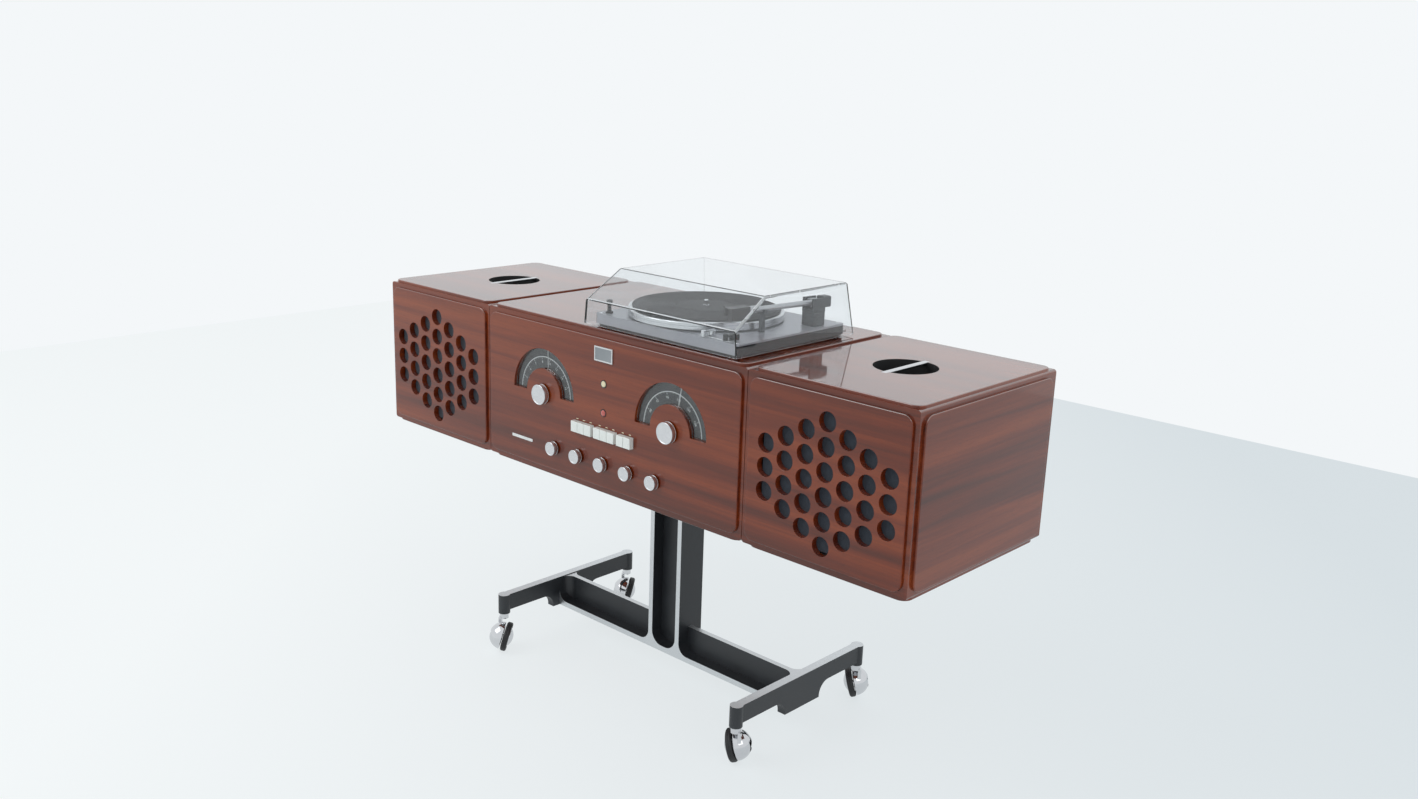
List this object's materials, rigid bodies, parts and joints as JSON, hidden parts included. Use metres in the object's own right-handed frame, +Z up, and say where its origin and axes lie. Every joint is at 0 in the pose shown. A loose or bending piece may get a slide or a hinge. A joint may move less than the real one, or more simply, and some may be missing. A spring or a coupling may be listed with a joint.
{
  "type": "radio phonograph console with record player",
  "caption": "Wide wooden radio and record player console with loudspeaker ends and a clear dust cover, on a castored metal pedestal.",
  "frame": {"origin": "on the floor under the middle of the console", "axes": "+X to the right seen from the front, +Y towards the back, +Z up"},
  "size_m": [1.22, 0.3929, 0.754],
  "materials": {
    "lacquered_wood": "high gloss lacquered red-brown veneer",
    "pedestal_paint": "satin black paint over cast aluminium, edges bare",
    "turned_aluminium": "lathe-turned",
    "chrome_plate": "polished",
    "caster_tyre": "moulded black tyre on a domed chrome hub",
    "zinc_steel": "plated sheet steel",
    "black_plastic": "fine grain",
    "grey_plastic": "satin dark grey",
    "white_plastic": "glossy white",
    "lamp_lens": "translucent lens",
    "clear_acrylic": "clear acrylic",
    "dial_black": "black dial paint with white printed scale",
    "pointer_white": "white paint",
    "speaker_cloth": "plain woven",
    "driver_paper": "steel basket and paper cone",
    "mat_rubber": "ribbed",
    "deck_silver": "silver-grey paint",
    "fibre_board": "pressed brown board"
  },
  "bodies": {
    "console": {"arm_rest": "grey_plastic", "back_covers": "fibre_board", "carrying_bars": "chrome_plate", "caster_sockets": "chrome_plate", "centre_cabinet": "lacquered_wood", "centre_front_panel": "lacquered_wood", "cover_hinges": "zinc_steel", "deck_motor": "zinc_steel", "deck_plate": "deck_silver", "deck_plinth": "black_plastic", "dial_plates": "dial_black", "dial_windows": "clear_acrylic", "grille_cloths": "speaker_cloth", "indicator_lamps": "lamp_lens", "left_front_panel": "lacquered_wood", "left_speaker_cabinet": "lacquered_wood", "loudspeaker_drivers": "driver_paper", "pedestal": "pedestal_paint", "power_transformer": "zinc_steel", "radio_chassis": "zinc_steel", "record_spindle": "chrome_plate", "right_front_panel": "lacquered_wood", "right_speaker_cabinet": "lacquered_wood", "tonearm_pillar": "grey_plastic", "trim_plates": "turned_aluminium"},
    "platter_turning": {"platter": "turned_aluminium", "platter_mat": "mat_rubber"},
    "idler": {"idler_wheel": "mat_rubber"},
    "pulley": {"motor_pulley": "zinc_steel"},
    "tonearm_swing_body": {"tonearm_yoke": "grey_plastic"},
    "tonearm_lift_body": {"tonearm": "deck_silver", "headshell": "black_plastic"},
    "cover": {"dust_cover": "clear_acrylic"},
    "speed_selector_body": {"speed_selector": "black_plastic"},
    "start_lever_body": {"start_lever": "black_plastic"},
    "left_tuning": {"left_tuning_knob": "turned_aluminium"},
    "right_tuning": {"right_tuning_knob": "turned_aluminium"},
    "left_pointer_body": {"left_pointer": "pointer_white"},
    "right_pointer_body": {"right_pointer": "pointer_white"},
    "control_1": {"control_knob_1": "turned_aluminium"},
    "control_2": {"control_knob_2": "turned_aluminium"},
    "control_3": {"control_knob_3": "turned_aluminium"},
    "control_4": {"control_knob_4": "turned_aluminium"},
    "control_5": {"control_knob_5": "turned_aluminium"},
    "key_1": {"push_key_1": "white_plastic"},
    "key_2": {"push_key_2": "white_plastic"},
    "key_3": {"push_key_3": "white_plastic"},
    "key_4": {"push_key_4": "white_plastic"},
    "key_5": {"push_key_5": "white_plastic"},
    "key_6": {"push_key_6": "white_plastic"},
    "key_7": {"push_key_7": "white_plastic"},
    "key_8": {"push_key_8": "white_plastic"},
    "caster_swivel_front_left": {"caster_hood_front_left": "chrome_plate"},
    "caster_roll_front_left": {"caster_wheel_front_left": "caster_tyre"},
    "caster_swivel_front_right": {"caster_hood_front_right": "chrome_plate"},
    "caster_roll_front_right": {"caster_wheel_front_right": "caster_tyre"},
    "caster_swivel_back_left": {"caster_hood_back_left": "chrome_plate"},
    "caster_roll_back_left": {"caster_wheel_back_left": "caster_tyre"},
    "caster_swivel_back_right": {"caster_hood_back_right": "chrome_plate"},
    "caster_roll_back_right": {"caster_wheel_back_right": "caster_tyre"}
  },
  "joints": [
    {"name": "platter_spin", "type": "hinge", "parent": "console", "child": "platter_turning", "pos_m": [0.088, -0.038, 0.69], "axis": [0, 0, -1], "continuous": true},
    {"name": "idler_spin", "type": "hinge", "parent": "console", "child": "idler", "pos_m": [0.03139, 0.04285, 0.69], "axis": [0, 0, -1], "continuous": true},
    {"name": "pulley_spin", "type": "hinge", "parent": "console", "child": "pulley", "pos_m": [0.0455, 0.0227, 0.688], "axis": [0, 0, -1], "continuous": true},
    {"name": "tonearm_swing", "type": "hinge", "parent": "console", "child": "tonearm_swing_body", "pos_m": [0.241, 0.048, 0.723], "axis": [0, 0, 1], "range_deg": [-34, 0]},
    {"name": "tonearm_lift", "type": "hinge", "parent": "tonearm_swing_body", "child": "tonearm_lift_body", "pos_m": [0.241, 0.048, 0.723], "axis": [-0.991, 0.134, 0], "range_deg": [0, 1.8]},
    {"name": "cover_hinge", "type": "hinge", "parent": "console", "child": "cover", "pos_m": [0, 0.119, 0.672], "axis": [-1, 0, 0], "range_deg": [0, 75]},
    {"name": "speed_selector_turn", "type": "hinge", "parent": "console", "child": "speed_selector_body", "pos_m": [0.236, -0.134, 0.69], "axis": [0, 0, 1], "range_deg": [-25, 25]},
    {"name": "start_lever_turn", "type": "hinge", "parent": "console", "child": "start_lever_body", "pos_m": [0.196, -0.14, 0.69], "axis": [0, 0, 1], "range_deg": [-25, 25]},
    {"name": "left_tuning_turn", "type": "hinge", "parent": "console", "child": "left_tuning", "pos_m": [-0.152, -0.1825, 0.53], "axis": [0, -1, 0], "range_deg": [-300, 300]},
    {"name": "left_pointer_turn", "type": "hinge", "parent": "console", "child": "left_pointer_body", "pos_m": [-0.152, -0.17, 0.53], "axis": [0, -1, 0], "range_deg": [-76, 76]},
    {"name": "right_tuning_turn", "type": "hinge", "parent": "console", "child": "right_tuning", "pos_m": [0.152, -0.1825, 0.53], "axis": [0, -1, 0], "range_deg": [-300, 300]},
    {"name": "right_pointer_turn", "type": "hinge", "parent": "console", "child": "right_pointer_body", "pos_m": [0.152, -0.17, 0.53], "axis": [0, -1, 0], "range_deg": [-76, 76]},
    {"name": "control_1_turn", "type": "hinge", "parent": "console", "child": "control_1", "pos_m": [-0.1214, -0.1825, 0.4405], "axis": [0, -1, 0], "range_deg": [-150, 150]},
    {"name": "control_2_turn", "type": "hinge", "parent": "console", "child": "control_2", "pos_m": [-0.0607, -0.1825, 0.4405], "axis": [0, -1, 0], "range_deg": [-150, 150]},
    {"name": "control_3_turn", "type": "hinge", "parent": "console", "child": "control_3", "pos_m": [0, -0.1825, 0.4405], "axis": [0, -1, 0], "range_deg": [-150, 150]},
    {"name": "control_4_turn", "type": "hinge", "parent": "console", "child": "control_4", "pos_m": [0.0607, -0.1825, 0.4405], "axis": [0, -1, 0], "range_deg": [-150, 150]},
    {"name": "control_5_turn", "type": "hinge", "parent": "console", "child": "control_5", "pos_m": [0.1214, -0.1825, 0.4405], "axis": [0, -1, 0], "range_deg": [-150, 150]},
    {"name": "key_1_press", "type": "slide", "parent": "console", "child": "key_1", "axis": [0, 1, 0], "range_m": [0, 0.004], "stiffness_N_per_m": 300, "springref_m": -0.002},
    {"name": "key_2_press", "type": "slide", "parent": "console", "child": "key_2", "axis": [0, 1, 0], "range_m": [0, 0.004], "stiffness_N_per_m": 300, "springref_m": -0.002},
    {"name": "key_3_press", "type": "slide", "parent": "console", "child": "key_3", "axis": [0, 1, 0], "range_m": [0, 0.004], "stiffness_N_per_m": 300, "springref_m": -0.002},
    {"name": "key_4_press", "type": "slide", "parent": "console", "child": "key_4", "axis": [0, 1, 0], "range_m": [0, 0.004], "stiffness_N_per_m": 300, "springref_m": -0.002},
    {"name": "key_5_press", "type": "slide", "parent": "console", "child": "key_5", "axis": [0, 1, 0], "range_m": [0, 0.004], "stiffness_N_per_m": 300, "springref_m": -0.002},
    {"name": "key_6_press", "type": "slide", "parent": "console", "child": "key_6", "axis": [0, 1, 0], "range_m": [0, 0.004], "stiffness_N_per_m": 300, "springref_m": -0.002},
    {"name": "key_7_press", "type": "slide", "parent": "console", "child": "key_7", "axis": [0, 1, 0], "range_m": [0, 0.004], "stiffness_N_per_m": 300, "springref_m": -0.002},
    {"name": "key_8_press", "type": "slide", "parent": "console", "child": "key_8", "axis": [0, 1, 0], "range_m": [0, 0.004], "stiffness_N_per_m": 300, "springref_m": -0.002},
    {"name": "caster_front_left_swivel", "type": "hinge", "parent": "console", "child": "caster_swivel_front_left", "pos_m": [-0.294, -0.159, 0.08], "axis": [0, 0, 1], "continuous": true},
    {"name": "caster_front_left_roll", "type": "hinge", "parent": "caster_swivel_front_left", "child": "caster_roll_front_left", "pos_m": [-0.28396, -0.17015, 0.02893], "axis": [0.7178, 0.6463, -0.2588], "continuous": true},
    {"name": "caster_front_right_swivel", "type": "hinge", "parent": "console", "child": "caster_swivel_front_right", "pos_m": [0.294, -0.159, 0.08], "axis": [0, 0, 1], "continuous": true},
    {"name": "caster_front_right_roll", "type": "hinge", "parent": "caster_swivel_front_right", "child": "caster_roll_front_right", "pos_m": [0.28561, -0.14656, 0.02893], "axis": [-0.8008, -0.5401, -0.2588], "continuous": true},
    {"name": "caster_back_left_swivel", "type": "hinge", "parent": "console", "child": "caster_swivel_back_left", "pos_m": [-0.294, 0.159, 0.08], "axis": [0, 0, 1], "continuous": true},
    {"name": "caster_back_left_roll", "type": "hinge", "parent": "caster_swivel_back_left", "child": "caster_roll_back_left", "pos_m": [-0.28396, 0.14785, 0.02893], "axis": [0.7178, 0.6463, -0.2588], "continuous": true},
    {"name": "caster_back_right_swivel", "type": "hinge", "parent": "console", "child": "caster_swivel_back_right", "pos_m": [0.294, 0.159, 0.08], "axis": [0, 0, 1], "continuous": true},
    {"name": "caster_back_right_roll", "type": "hinge", "parent": "caster_swivel_back_right", "child": "caster_roll_back_right", "pos_m": [0.28476, 0.17082, 0.02893], "axis": [-0.7612, -0.5947, -0.2588], "continuous": true}
  ],
  "couplings": [
    {"joint": "idler_spin", "follows": "platter_spin", "ratio": 6.2105},
    {"joint": "pulley_spin", "follows": "platter_spin", "ratio": -23.6},
    {"joint": "left_pointer_turn", "follows": "left_tuning_turn", "ratio": 0.25},
    {"joint": "right_pointer_turn", "follows": "right_tuning_turn", "ratio": 0.25}
  ]
}
